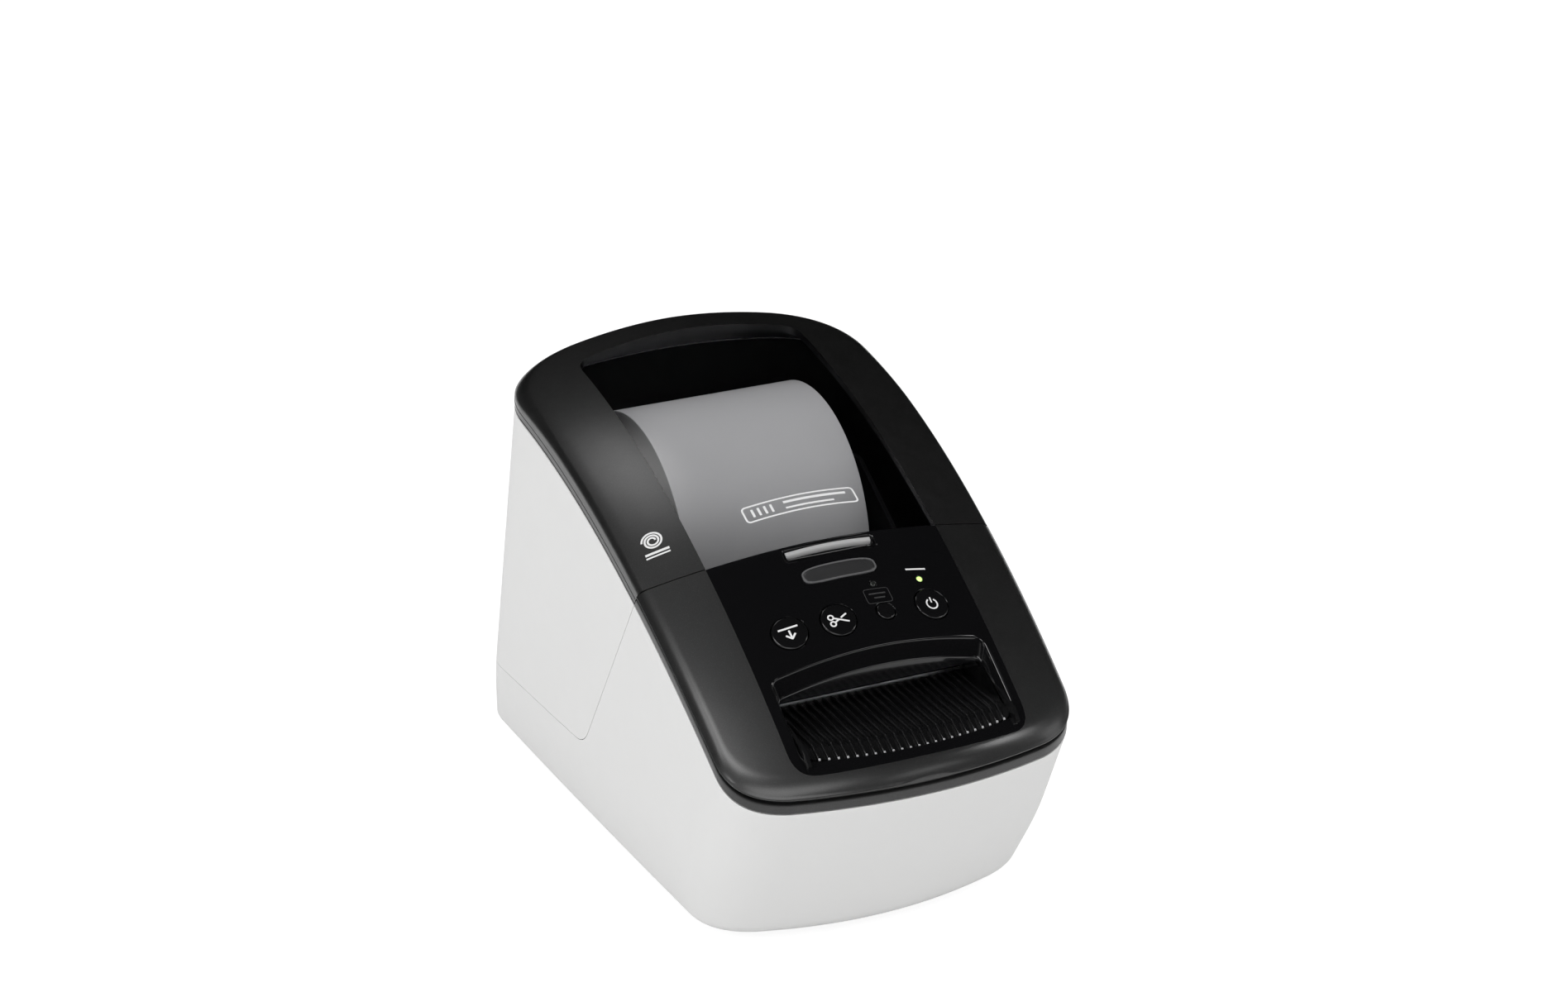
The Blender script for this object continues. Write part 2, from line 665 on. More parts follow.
MAT = {
    "white_shell": plastic("white_satin", (0.74, 0.74, 0.735), rough=0.42, drift=0.012,
                           grain=0.35, grain_scale=2300, spec=0.4),
    "matte_black_frame": plastic("charcoal_grain", (0.0055, 0.0055, 0.0056), rough=0.5,
                                 drift=0.08, grain=0.5, grain_depth=0.00003, speck=0.5,
                                 coat=1.0, coat_rough=0.23),
    "gloss_black_panel": plastic("gloss_black", (0.0045, 0.0045, 0.005), rough=0.10,
                                 drift=0.05, grain=0.05, grain_scale=900, coat=0.5,
                                 coat_rough=0.04, wave=0.05, rough_swing=0.02),
    "black_button": plastic("button_black", (0.005, 0.005, 0.0055), rough=0.16, drift=0.05,
                            grain=0.05, grain_scale=900, coat=0.4, coat_rough=0.06,
                            rough_swing=0.02),
    "black_plastic": plastic("satin_black", (0.012, 0.012, 0.013), rough=0.45, drift=0.1,
                             grain=0.3, grain_scale=2400, spec=0.45),
    "chute_black": plastic("chute_black", (0.007, 0.007, 0.0075), rough=0.22, drift=0.1,
                           grain=0.15, grain_scale=2400),
    "grey_strip": plastic("pale_strip", (0.42, 0.42, 0.42), rough=0.38, drift=0.03, grain=0.15),
    "inner_black": plastic("inner_black", (0.006, 0.006, 0.006), rough=0.7, drift=0.1,
                           grain=0.4, spec=0.2),
    "rib_tip": plastic("polished_tip", (0.42, 0.42, 0.43), rough=0.25, drift=0.05, spec=0.6),
    "rubber_feet": plastic("rubber_feet", (0.02, 0.02, 0.02), rough=0.85, drift=0.12,
                           grain=0.6, grain_scale=1800, spec=0.25),
    "platen_rubber": plastic("platen_rubber", (0.03, 0.03, 0.03), rough=0.7, drift=0.1,
                             grain=0.7, grain_scale=1400, stretch=(0.1, 1, 1), spec=0.3),
    "steel_sheet": plastic("zinc_sheet", (0.45, 0.46, 0.47), rough=0.36, drift=0.1,
                           grain=0.35, grain_scale=700, stretch=(1, 0.08, 1), metal=1.0,
                           rough_swing=0.1),
    "steel_rod": plastic("ground_rod", (0.55, 0.56, 0.57), rough=0.22, grain=0.3,
                         grain_scale=1500, stretch=(1, 0.1, 0.1), metal=1.0),
    "blade_steel": plastic("blade_steel", (0.60, 0.61, 0.62), rough=0.2, grain=0.35,
                           grain_scale=900, stretch=(0.05, 1, 1), metal=1.0),
    "spring_steel": plastic("spring_steel", (0.35, 0.36, 0.37), rough=0.3, drift=0.1,
                            grain=0.2, metal=1.0),
    "screw_steel": plastic("screw_zinc", (0.35, 0.35, 0.36), rough=0.34, drift=0.15,
                           grain=0.2, metal=1.0),
    "motor_can": plastic("drawn_can", (0.50, 0.51, 0.52), rough=0.28, drift=0.08, grain=0.3,
                         grain_scale=900, stretch=(0.1, 1, 1), metal=1.0),
    "brass_pinion": plastic("cut_brass", (0.60, 0.42, 0.16), rough=0.28, drift=0.12,
                            grain=0.25, metal=1.0),
    "nylon_gear": plastic("natural_nylon", (0.75, 0.71, 0.60), rough=0.48, drift=0.05,
                          grain=0.2, spec=0.45),
    "head_ceramic": plastic("head_ceramic", (0.18, 0.09, 0.05), rough=0.18, drift=0.12,
                            grain=0.1, spec=0.6),
    "circuit_board": plastic("board_green", (0.02, 0.12, 0.05), rough=0.35, drift=0.35,
                             grain=0.5, grain_scale=600),
    "power_board": plastic("board_brown", (0.25, 0.16, 0.06), rough=0.5, drift=0.3,
                           grain=0.5, grain_scale=600, spec=0.4),
    "ribbon_cable": plastic("ribbon", (0.62, 0.58, 0.48), rough=0.4, grain=0.8,
                            grain_scale=900, stretch=(1, 0.02, 0.02)),
    "core_card": plastic("wound_card", (0.40, 0.28, 0.16), rough=0.85, drift=0.15, grain=0.8,
                         grain_scale=900, stretch=(1, 0.15, 0.15), spec=0.2),
    "socket_metal": plastic("tinned_socket", (0.50, 0.51, 0.52), rough=0.3, drift=0.1,
                            grain=0.2, metal=1.0),
    "mark_white": plastic("printed_white", (0.80, 0.80, 0.80), rough=0.5, drift=0.02, grain=0.2),
    "mark_grey": plastic("printed_grey", (0.035, 0.035, 0.036), rough=0.5, drift=0.04,
                         grain=0.2),
    "badge_rim": plastic("badge_rim_grey", (0.11, 0.11, 0.113), rough=0.3, drift=0.05,
                         grain=0.2, spec=0.6),
    "badge": plastic("badge_grey", (0.028, 0.028, 0.029), rough=0.32, drift=0.05,
                     grain=0.25, spec=0.6),
    "label_paper": paper_material(),
    "roll_ends": roll_end_material(),
    "smoked_window": smoke_material(),
    "lit_lens": lens_material("lit_lens", (0.45, 0.75, 0.10), power=1.0),
    "unlit_lens": lens_material("unlit_lens", (0.02, 0.022, 0.02)),
}


# ------------------------------------------------------------------ white walls
def belly(inset, lift=0, degrees=range(90, -1, -10)):
    """Rings of the rounded lower edge, from the underside up."""
    return [wall_at(lambda rim: BELLY_Z + lift + BELLY_R - BELLY_R * math.sin(a),
                    BELLY_R * (1 - math.cos(a)) + inset) for a in radians(*degrees)]


def wall_ring(part, inset, drop=0.15):
    return wall_at(lambda rim: lerp(BELLY_TOP, rim - drop, part), inset)


STEPS = [i / 26 for i in range(1, 27)]
wall_rings = belly(0) + [wall_ring(part, 0) for part in STEPS[:-1]]
wall_rings += [wall_ring(1, 0, 0.35), wall_ring(1, 0.06, 0.21), wall_ring(1, 0.2)]
wall_rings += [wall_ring(part, WALL) for part in reversed(STEPS[3::4] + [1])]
wall_rings += [wall_at(lambda rim: BELLY_TOP, WALL),
               wall_at(lambda rim: BELLY_Z + WALL + 0.5, WALL + 2.2),
               wall_at(lambda rim: BELLY_Z, BELLY_R + WALL + 0.8)]
wall_shell = loft(wall_rings, closed=True)
WALL_SOURCE = Source(wall_shell)
# solids that keep ribs and the hinge barrel inside the walls
body_block = loft(belly(0.7, 0.3, (90, 45, 0))
                  + [wall_ring(part, 0.7, 1) for part in STEPS[5::6] + [1]])
outer_block = loft(belly(0.02) + [wall_ring(part, 0.02) for part in STEPS[1::2]])

# reach of the cutting solids, beyond the printer on every side
CUT_X, CUT_TOP, CUT_BACK, CUT_FRONT, CUT_FOOT = 80, 175, 130, -140, -10


def slant(z):
    return SEAM_Y90 - SEAM_SLOPE * (z - 90)


def low(y):
    return SEAM_LOW_Z50 - SEAM_LOW_SLOPE * (y - 50)


def seam_line(gap):
    """(y, z) points of the seam, moved by gap towards the cover."""
    shift = gap * math.hypot(1, SEAM_SLOPE)
    z = 36.0
    for _ in range(20):
        z = low(slant(z) + shift) + gap
    y = slant(z) + shift
    up, back = Vector((-SEAM_SLOPE, 1)).normalized(), Vector((1, -SEAM_LOW_SLOPE)).normalized()
    size = SEAM_CORNER
    points = [(slant(CUT_TOP) + shift, CUT_TOP)]
    points += [(quadratic(i / 14, y + up.x * size, y, y + back.x * size),
                quadratic(i / 14, z + up.y * size, z, z + back.y * size)) for i in range(15)]
    return points + [(CUT_BACK, low(CUT_BACK) + gap)]


def cover_side(gap):
    return prism(seam_line(gap) + [(CUT_BACK, CUT_TOP)], -CUT_X, CUT_X, "x")


def base_side(gap):
    return prism(seam_line(-gap) + [(CUT_BACK, CUT_FOOT), (CUT_FRONT, CUT_FOOT),
                                    (CUT_FRONT, CUT_TOP)], -CUT_X, CUT_X, "x")


def lug(side):
    """A bored upright plate inside the back wall that holds the hinge axis."""
    x0, x1 = span(side, LUG_NEAR, LUG_FAR)
    points = [(HINGE_Y - LUG_R, 12), (103.4, 12), (103.4, 30.5), (HINGE_Y + 3.0, 33)]
    points += arc(HINGE_Y, HINGE_Z, LUG_R, -30, 180, 21)
    return subtract(prism(points, x0, x1, "x"), hinge_cylinder(2.08, x0 - 1, x1 + 1, 40))


def boss(x, y):
    """A screw post with a rib out to the side wall."""
    reach = span(x, abs(x), 75)
    rib = intersect(box(*reach, y - 1.2, y + 1.2, 6, 18), body_block)
    post = unite(prism(circle(4, x, y, 48), 5.6, 18.4), rib)
    return subtract(post, prism(circle(1.7, x, y, 32), 5, 15.5))


SCREWS = [(-30, -61), (30, -61), (-47, 62), (47, 62)]
PORTS = [(-36.4, -7.6, 10.6, 29.4, 1.2), (23.6, 36.4, 11.6, 23.4, 0.8)]  # x, z ranges, corner
cover_region, base_region = cover_side(SEAM_GAP), base_side(SEAM_GAP)
housing = largest(intersect(wall_shell, base_region))
for side in (1, -1):
    housing = unite(housing, lug(side))
for x, y in SCREWS:
    housing = unite(housing, boss(x, y))
housing = largest(subtract(housing, *[prism(rounded_rect(*port), 98, 120, "y")
                                      for port in PORTS]))
piece("housing_skin", shade(housing, [WALL_SOURCE]), "base", "white_shell", "main_housing")

# cover walls with the hinge barrel, slotted for the lugs and bored for the pin
shell = largest(intersect(wall_shell, cover_region))
shell = subtract(shell, box(-CUT_X, CUT_X, HINGE_Y, CUT_BACK, 0, HINGE_Z))
barrel = hinge_cylinder(6.3, -51.5, 51.5, 96)
BARREL_SOURCE = Source(barrel)
shell = unite(shell, intersect(barrel, outer_block))
for side in (1, -1):
    slot_x = span(side, LUG_NEAR - LUG_GAP, LUG_FAR + LUG_GAP)
    shell = subtract(shell, hinge_cylinder(7.5, *slot_x, 48),
                     hinge_cylinder(2.3, *span(side, 35.5, 47.5), 40))
shell = largest(shell)
cover = piece("cover_shell_skin", shade(shell, [WALL_SOURCE, BARREL_SOURCE]), "cover",
              "white_shell", "cover_shell")


def faces_inward(centre, normal):
    """True on the inside of the cover walls, away from the hinge barrel."""
    return (normal.x * centre.x / 62 + normal.y * (centre.y - 20) / 80 < -0.15
            and centre.z > 12
            and (centre.y - HINGE_Y) ** 2 + (centre.z - HINGE_Z) ** 2 > 60)


second_look(cover, "inner_black", faces_inward)

# ------------------------------------------------------------------ dark top
SKIN_INSET = 6  # the crowned skin starts this far in from the rim
SKIN_MID_Y = sum(outline(*station, rim, SKIN_INSET)[1]
                 for station, rim in zip(STATIONS, RIM_AT)) / len(STATIONS)


def skin_z(x, y):
    return min(top_z(x, y), Z_CAP)


def skin_ring(scale, drop=0):
    """The skin's outer ring shrunk about its middle and laid on the top, less a drop."""
    def place(at, rim):
        x, y = at(SKIN_INSET)
        x, y = x * scale, SKIN_MID_Y + (y - SKIN_MID_Y) * scale
        return x, y, skin_z(x, y) - drop
    return around(place)


def band_ring(inset, rise):
    return around(lambda at, rim: (*at(inset), rim + rise))


def inset_ring(inset):
    return around(lambda at, rim: (*at(inset), skin_z(*at(inset))))


BEZEL_EDGE = 3.0


def bezel_edge_ring(part):
    """The bezel's rounded edge, from its lip to the ring BEZEL_EDGE in."""
    def place(at, rim):
        near = BEZEL_EDGE * 0.55
        start = rim + 5.8
        upper = top_z(*at(near)) - 0.12 * (top_z(*at(0)) - start)
        lower = start + (upper - start) * 0.52
        inset = cubic(part, -0.12, BEZEL_EDGE * 0.2, near, BEZEL_EDGE)
        z = cubic(part, start, lower, upper, top_z(*at(BEZEL_EDGE)))
        return (*at(inset), min(z, Z_CAP))
    return around(place)


def cover_edge_ring(part):
    """The cover's rounded edge, which grows wider and lower towards the back."""
    def place(at, rim):
        back = min(1, max(0, (at(0)[1] - 30) / 60.0)) ** 1.3
        edge, start = lerp(1.9, 5.9, back), rim + lerp(5.4, 3.3, back)
        near = edge * 0.5
        inset = cubic(part, 0.1, 0, near, edge)
        z = cubic(part, start, start + 0.9, top_z(*at(near)), top_z(*at(edge)))
        return (*at(inset), min(z, Z_CAP))
    return around(place)


CAP_UNDER = [skin_ring(scale, WALL) for scale in (0.1, 0.25, 0.45, 0.65, 0.82, 0.93, 1.0)]
CAP_UNDER += [band_ring(WALL, BAND - 3.7), band_ring(WALL, 0.15), band_ring(0.35, 0.15),
              band_ring(0.1, 0.22), band_ring(0, 0.4)]
SKIN_SCALES = [0.02, 0.06] + [0.1 + 0.9 * i / 34 for i in range(35)]
CAP_OVER = [skin_ring(scale) for scale in reversed(SKIN_SCALES)]
# (inset, rise above the rim); the bezel's band ends in a soft channel under its edge
BEZEL_BAND = [
    (0, 1.4), (0, 2.4), (0.03, 2.95), (0.12, 3.2), (0.35, 3.38), (0.85, 3.5), (1.45, 3.66),
    (1.62, 4.0), (1.5, 4.36), (0.95, 4.56), (0.3, 4.7), (-0.05, 4.82), (-0.3, 5.0),
    (-0.38, 5.2), (-0.34, 5.42), (-0.24, 5.62),
]
# the cover's band carries two fine steps
COVER_BAND = [
    (0, 0.55), (0.22, 0.62), (0.22, 0.86), (0.0, 0.94), (0, 1.5), (0, 2.4), (0.0, 2.75),
    (0.1, 2.85), (0.1, 3.0),
]
bezel_cap = loft(CAP_UNDER + [band_ring(*row) for row in BEZEL_BAND]
                 + [bezel_edge_ring(i / 10) for i in range(11)]
                 + [inset_ring(lerp(BEZEL_EDGE, SKIN_INSET, part)) for part in (0.33, 0.66)]
                 + CAP_OVER)
BEZEL_SOURCE = Source(bezel_cap, 28)
whole_cover_cap = loft(CAP_UNDER + [band_ring(*row) for row in COVER_BAND]
                       + [cover_edge_ring(i / 12) for i in range(13)] + CAP_OVER)
COVER_SOURCE = Source(whole_cover_cap, 28)


def gloss_outline(grow):
    """Outline of the glossy field of panel and window, with bowed ends."""
    half = 40.5 + grow

    def front(x):
        return -104.9 - grow + 4.4 * (x / 36) ** 2

    def back(x):
        return 74.3 + grow - 2.2 * (x / 36) ** 2
    xs = [-30 + i * 2.5 for i in range(25)]
    corners = [(-half, front(half), 7)] + [(x, front(x), 0) for x in xs]
    corners += [(half, front(half), 7), (half, back(half), 6)]
    corners += [(x, back(x), 0) for x in reversed(xs)] + [(-half, back(half), 6)]
    return rounded_outline(corners, 10)


def outlet_outline(grow, back=0.0, front=0.0):
    """The outlet's outline grown all round, with more at its back and front edges."""
    half = OUT_HALF + grow

    def front_y(x):
        return OUT_FRONT - grow - front + OUT_BOW * (x / OUT_BOW_X) ** 2
    back_y = OUT_BACK + grow + back
    cut = 3 + grow * 0.4
    xs = [-half + cut + 0.5 + (2 * half - 2 * cut - 1.0) * i / 30 for i in range(31)]
    corners = [(-half, front_y(half), cut)] + [(x, front_y(x), 0) for x in xs]
    corners += [(half, front_y(half), cut), (half, back_y, cut)]
    corners += [(x, back_y, 0) for x in reversed(xs)] + [(-half, back_y, cut)]
    return rounded_outline(corners, 8)


gloss_inside = prism(gloss_outline(-0.02), 20, CUT_TOP)
gloss_cut = prism(gloss_outline(0.02), 20, CUT_TOP)
GLOSS_SOURCE = Source(gloss_cut)
base_cap = largest(intersect(bezel_cap, base_side(TOP_SEAM_GAP)))
cover_cap = largest(intersect(whole_cover_cap, cover_side(TOP_SEAM_GAP)))
bezel = largest(subtract(base_cap, gloss_cut))
piece("bezel_skin", shade(bezel, [BEZEL_SOURCE, GLOSS_SOURCE]), "base", "matte_black_frame",
      "front_bezel")
cover_frame = largest(subtract(cover_cap, gloss_cut))
piece("cover_frame_skin", shade(cover_frame, [COVER_SOURCE, GLOSS_SOURCE]), "cover",
      "matte_black_frame", "cover_frame")
window = largest(intersect(cover_cap, gloss_inside))
piece("window_skin", shade(window, [COVER_SOURCE, GLOSS_SOURCE]), "cover", "smoked_window",
      "cover_window")

# ------------------------------------------------------------------ control panel
FILLET = 0.65  # round the outlet


def flare(radius, fillet):
    """Profile of a tool for a round hole with a filleted mouth."""
    profile = [(0, -8), (radius, -8), (radius, -fillet)]
    profile += [(radius + fillet * (1 - math.cos(a)), -fillet + fillet * math.sin(a))
                for a in radians(18, 36, 54, 72, 84)]
    mouth = radius + fillet
    return profile + [(mouth + 0.12, 0.03), (mouth + 0.5, 0.5), (mouth + 0.5, 3), (0, 3)]


def pocket_ring(grow, rise):
    x, front, back = 15.9 + grow, -40.5 - grow, -36.0 + grow
    points = rounded_outline([(-x, front, 1.7), (x, front, 1.7), (x, back, 1.7),
                              (-x, back, 1.7)], 8)
    return [(x, y, top_z(x, y) + rise) for x, y in points]


def pocket_rings(grow):
    """The finger pocket from above its mouth to its floor: 2 above, 5 fillet, 4 wall rings."""
    rings = [pocket_ring(0.5 + grow, 2.0), pocket_ring(0.5 + grow, 0.02)]
    rings += [pocket_ring(0.5 * (1 - math.sin(a)) + grow, -0.5 * (1 - math.cos(a)))
              for a in radians(20, 40, 60, 80, 90)]
    return rings + [pocket_ring(shift + grow, rise) for shift, rise in
                    ((-0.05, -1.6), (-0.3, -2.6), (-0.8, -3.3), (-1.6, -3.6))]


panel_tools = [prism(outlet_outline(FILLET), 20, CUT_TOP)]
panel_tools += [lathe(flare(radius + 0.28, 0.45), 72, panel_frame(x, y))
                for x, y, radius in BUTTONS.values()]
panel_tools += [lathe(flare(1.02, 0.4), 48, panel_frame(x, y)) for x, y in LENSES.values()]
panel_tools.append(loft(pocket_rings(0)))
panel_sources = [BEZEL_SOURCE] + [Source(tool) for tool in panel_tools]
panel = largest(subtract(intersect(base_cap, gloss_inside), *panel_tools))
panel = shade(panel, panel_sources)


def outlet_ring(grow, depth, back=0.0):
    return [(x, y, top_z(x, y) - depth) for x, y in outlet_outline(grow, back)]


def lip_z(x, y):
    """Height of the lip at a point of the outlet's outline, whichever side it is on."""
    back_y = OUT_BACK - LIP_BACK
    back = LIP_Z - LIP_BOW * (min(abs(x), 34) / 33) ** 2
    corner_drop = top_z(34, back_y) - (LIP_Z - LIP_BOW * (34 / 33) ** 2)
    along = min(1, max(0, (back_y - 1.2 - y) / 24.0))
    side = top_z(x, y) - lerp(corner_drop, 2.1, along)
    off_back = min(1, max(0, (back_y - y) / 1.2))
    front_y = OUT_FRONT + OUT_BOW * (x / OUT_BOW_X) ** 2
    at_front = min(1, max(0, (front_y + 3.2 - y) / 2.4))
    return lerp(lerp(back, side, off_back), top_z(x, y) - 1.0, at_front)


def drop_z(x, y):
    """Height to which the inner face falls: DROP_Z at the back, the floor elsewhere."""
    edge = OUT_BACK - LIP_BACK - 1.0
    if y > edge:
        return DROP_Z
    foot = 76.6 if y > BEND else 76.6 + (y - BEND) * 0.75
    return lerp(DROP_Z, foot, min(1, max(0, (edge - y) / 1.5)))


def lip_ring(inset, height):
    points = outlet_outline(-LIP_SIDE - inset, -(LIP_BACK - LIP_SIDE), LIP_FRONT)
    return [(x, y, height(x, y)) for x, y in points]


# outlet surround: fillet, bevelled wall, inner lip, straight drop and hidden back
fillet_end = outlet_ring(0, FILLET)
lip_start = lip_ring(0, lambda x, y: lip_z(x, y) + 0.16)
rings = [outlet_ring(FILLET, 0)]
rings += [outlet_ring(FILLET * (1 - math.sin(a)), FILLET * (1 - math.cos(a)))
          for a in radians(15, 30, 45, 60, 75, 90)]
rings += [[tuple(lerp(a[i], b[i], part) for i in range(3))
           for a, b in zip(fillet_end, lip_start)] for part in (0.15, 0.5, 0.88, 1.0)]
rings += [lip_ring(inset, lambda x, y: lip_z(x, y) + rise) for inset, rise in
          ((0.05, 0.06), (0.11, 0), (0.15, -0.1), (0.17, -0.2), (0.19, -0.3), (0.2, -0.5))]
rings += [lip_ring(0.2, lambda x, y: lerp(lip_z(x, y), drop_z(x, y), 0.5))]
rings += [lip_ring(inset, lambda x, y: min(lip_z(x, y) - below, drop_z(x, y) + lift))
          for inset, below, lift in ((0.2, 0.7, 0.25), (0.2, 0.8, 0), (-3.4, 1.2, 0))]
rings += [outlet_ring(1.4, 3.6, back=0.4), outlet_ring(FILLET, 2.7)]
surround = loft(rings, closed=True)
smooth_shade(surround, 40)
whole_panel = join(panel, surround)
panel_normals = [tuple(c.vector) for mesh in (panel, surround) for c in mesh.corner_normals]
for polygon in whole_panel.polygons:
    polygon.use_smooth = True
whole_panel.normals_split_custom_set(panel_normals)
piece("panel_skin", whole_panel, "base", "gloss_black_panel", "control_panel")

# ------------------------------------------------------------------ outlet floor and ribs
CHUTE_HALF = OUT_HALF - LIP_SIDE
CHUTE_BACK = -63


def tip_y(x):
    return OUT_FRONT + 0.32 + 4.8 * (x / OUT_BOW_X) ** 2


def bend_y(x):
    return BEND + 0.6 + 4.3 * (x / OUT_BOW_X) ** 2


def chute_floor():
    """A tray: flat to the bend, then down to the bowed front edge."""
    rows = []
    for i in range(49):
        x = -CHUTE_HALF + 2 * CHUTE_HALF * i / 48
        bend, tip, z = bend_y(x), tip_y(x), FLOOR_Z
        profile = [
            (-63.0, z), (-80, z), (bend + 0.4, z), (bend, z - 0.08), (bend - 0.5, z - 0.35),
            (tip + 0.2, z - 0.35 - (bend - 0.5 - tip - 0.2) * 0.62),
            (tip, z - 1.2 - (bend - tip) * 0.62), (tip + 0.1, z - 4.2), (bend, z - 2.2),
            (-63.0, z - 2.0)]
        rows.append([(x, y, z) for y, z in profile])
    return loft(rows)


def chute_rib(x):
    """A round-topped rib that follows the floor and ends in a nose at its front."""
    bend, tip, top = bend_y(x), tip_y(x), FLOOR_Z + RIB_H
    turn_y, turn_z = bend - 0.4, top - 0.42
    end = turn_z - (turn_y - tip) * 0.5
    path = [
        (-63.6, top - 0.7), (-66, top), (-80, top), (bend + 0.8, top), (bend + 0.2, top - 0.1),
        (turn_y, turn_z), (lerp(turn_y, tip, 0.5), lerp(turn_z, end, 0.5)),
        (tip + 0.35, end + 0.2), (tip + 0.1, end - 0.05), (tip - 0.02, end - 0.4),
        (tip, end - 1.4)]
    # (half width, drop below the crest)
    section = ((0.44, 0.32), (0.36, 0.12), (0.2, 0.02))
    rings = []
    for y, z in path:
        foot = min(z - 0.5, FLOOR_Z - 0.4 if y > bend else z - 1.6)
        rings.append([(x - 0.46, y, foot), (x + 0.46, y, foot)]
                     + [(x + half, y, z - drop) for half, drop in section] + [(x, y, z)]
                     + [(x - half, y, z - drop) for half, drop in reversed(section)])
    return loft(rings)


CHEEK = [(CHUTE_BACK, FLOOR_Z - 2), (-97, FLOOR_Z - 2), (-98.5, FLOOR_Z - 3.2),
         (-99.0, FLOOR_Z - 2.2), (-96, FLOOR_Z + 1.0), (-76, 83.4), (CHUTE_BACK, 84.2)]
HOOD = [(-72.6, 85.5), (CHUTE_BACK, 84.6), (CHUTE_BACK, 86), (-72.6, 86.2)]
chute_parts = [chute_floor()]
chute_parts += [chute_rib((i - (RIBS - 1) / 2) * RIB_PITCH) for i in range(RIBS)]
chute_parts += [prism(CHEEK, *span(side, CHUTE_HALF - 0.1, CHUTE_HALF + 1.1), "x")
                for side in (1, -1)]
chute_parts.append(prism(HOOD, -CHUTE_HALF, CHUTE_HALF, "x"))
chute = piece("chute_skin", join(*chute_parts), "base", "black_plastic", "outlet_chute",
              smooth=38, look="chute_black")


def on_rib_nose(centre, normal):
    from_rib = abs((centre.x / RIB_PITCH + 500) % 1.0 - 0.5)
    return (abs(centre.x) < CHUTE_HALF - 1 and from_rib > 0.5 - 0.3 / RIB_PITCH
            and -0.1 < centre.y - tip_y(centre.x) < 0.45 and normal.z > 0.2)


second_look(chute, "rib_tip", on_rib_nose)

# ------------------------------------------------------------------ finger pocket, pale strip
pocket = loft(list(reversed(pocket_rings(-0.75)[6:]))
              + [pocket_ring(-0.75, -0.75), pocket_ring(-0.05, -0.75)]
              + pocket_rings(-0.05)[7:] + [pocket_ring(-1.6, -4.4)])
piece("finger_pocket", pocket, "base", "gloss_black_panel", smooth=40, look="black_button")


def pale_strip():
    """A strip along the pocket's back side that sags with the top."""
    front, back = -37.6, -36.75
    front_top, back_top = top_z(0, front), top_z(0, back)
    profile = [
        (back, back_top - 2.2), (front + 0.3, front_top - 2.4), (front, front_top - 1.9),
        (front, front_top - 0.75), (front + 0.08, front_top - 0.58),
        (front + 0.25, front_top - 0.48), (back - 0.1, back_top - 0.38),
        (back, back_top - 0.45)]
    rows = []
    for i in range(25):
        x = lerp(-14.9, 14.9, i / 24)
        sag = top_z(x, -37.4) - top_z(0, -37.4)
        rows.append([(x, y, z + sag) for y, z in profile])
    return loft(rows)


piece("pale_strip", pale_strip(), "base", "grey_strip", "catch_strip", smooth=50)


# ------------------------------------------------------------------ buttons, lenses
def button_profile(radius):
    """A thin stem, a wide flange and a cap with a rounded edge."""
    stem, rise = min(2, radius - 0.6), BUTTON_RISE
    profile = [(0, -6), (stem, -6), (stem, -4.6), (radius + 0.9, -4.6), (radius + 0.9, -3.6),
               (radius, -3.6), (radius, rise - 0.55)]
    profile += [(radius - 0.45 * (1 - math.cos(a)), rise - 0.5 + 0.42 * math.sin(a))
                for a in radians(15, 30, 45, 60, 75, 90)]
    return profile + [(radius * 0.8, rise - 0.05), (radius * 0.5, rise - 0.01),
                      (radius * 0.2, rise), (0, rise)]


LENS_PROFILE = [(0, -7.2), (0.95, -7.2), (0.95, -0.35), (0.93, -0.2), (0.85, -0.05),
                (0.7, 0.06), (0.45, 0.13), (0.2, 0.15), (0, 0.155)]
for name, (x, y, radius) in BUTTONS.items():
    piece(name + "_cap", lathe(button_profile(radius), 80, panel_frame(x, y)), name,
          "black_button", name, smooth=40)
for name, (x, y) in LENSES.items():
    piece(name + "_dome", lathe(LENS_PROFILE, 40, panel_frame(x, y)), "base",
          "lit_lens" if name == "status_lens" else "unlit_lens", name, smooth=60)


# ------------------------------------------------------------------ plain marks in thin relief
def stroke(place, points, width, step=0.5, closed=False, bottom=-0.05, top=0.06):
    """A thin raised line through 2D points, laid on a surface by place(x, y, height)."""
    corners = [Vector(p) for p in points]
    path = []
    for i in range(len(corners) if closed else len(corners) - 1):
        start, end = corners[i], corners[(i + 1) % len(corners)]
        steps = max(1, int((end - start).length / step))
        path += [start.lerp(end, j / steps) for j in range(steps)]
    if not closed:
        path.append(corners[-1])
    rings = []
    n = len(path)
    for i, middle in enumerate(path):
        if closed:
            along = path[(i + 1) % n] - path[i - 1]
        else:
            along = path[min(i + 1, n - 1)] - path[max(i - 1, 0)]
        along.normalize()
        across = Vector((-along.y, along.x)) * (width / 2)
        left, right = middle + across, middle - across
        crest = [place(lerp(middle.x, edge.x, 0.8), lerp(middle.y, edge.y, 0.8), top)
                 for edge in (right, left)]
        rings.append([place(*left, bottom), place(*right, bottom),
                      place(*right, top - 0.02), *crest, place(*left, top - 0.02)])
    return loft(rings, closed=closed)


def plate(place, points, bottom, top, soft):
    """A thin raised filled shape with a softened edge."""
    centre = sum((Vector(p) for p in points), Vector((0, 0))) / len(points)
    levels = ((0, bottom), (0, top - soft * 0.4), (0.02, top - soft * 0.1), (0.06, top),
              (0.4, top), (0.8, top))
    return loft([[place(*Vector(p).lerp(centre, shrink), height) for p in points]
                 for shrink, height in levels])


